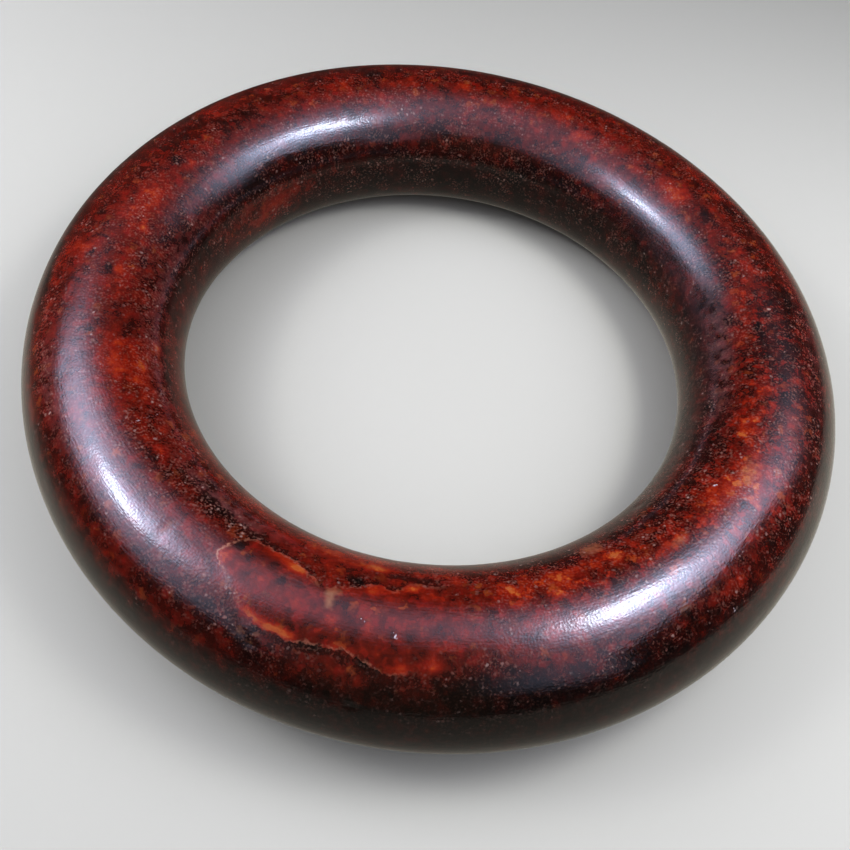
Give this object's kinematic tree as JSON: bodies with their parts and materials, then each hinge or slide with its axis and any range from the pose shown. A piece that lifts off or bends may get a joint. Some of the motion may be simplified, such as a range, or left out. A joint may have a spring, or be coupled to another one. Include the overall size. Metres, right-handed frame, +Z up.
{
  "type": "jade bangle",
  "caption": "Thick round-bar bangle of dark red-brown jade, a closed ring with a clear wrist hole, lying flat on a narrow rubbed face.",
  "frame": {"origin": "centre of the circle that the bar rests on, on the ring's axis, at the height of the resting face", "axes": "+Z is up through the wrist hole, along the ring's axis; +X is to the right and -Y towards the camera in the picture's view"},
  "size_m": [0.0948, 0.0948, 0.018],
  "materials": {
    "jade": "waxy polish, fine pits and pale flecks, mottled from near black to orange-red"
  },
  "bodies": {
    "root": {"bangle": "jade"}
  },
  "joints": []
}
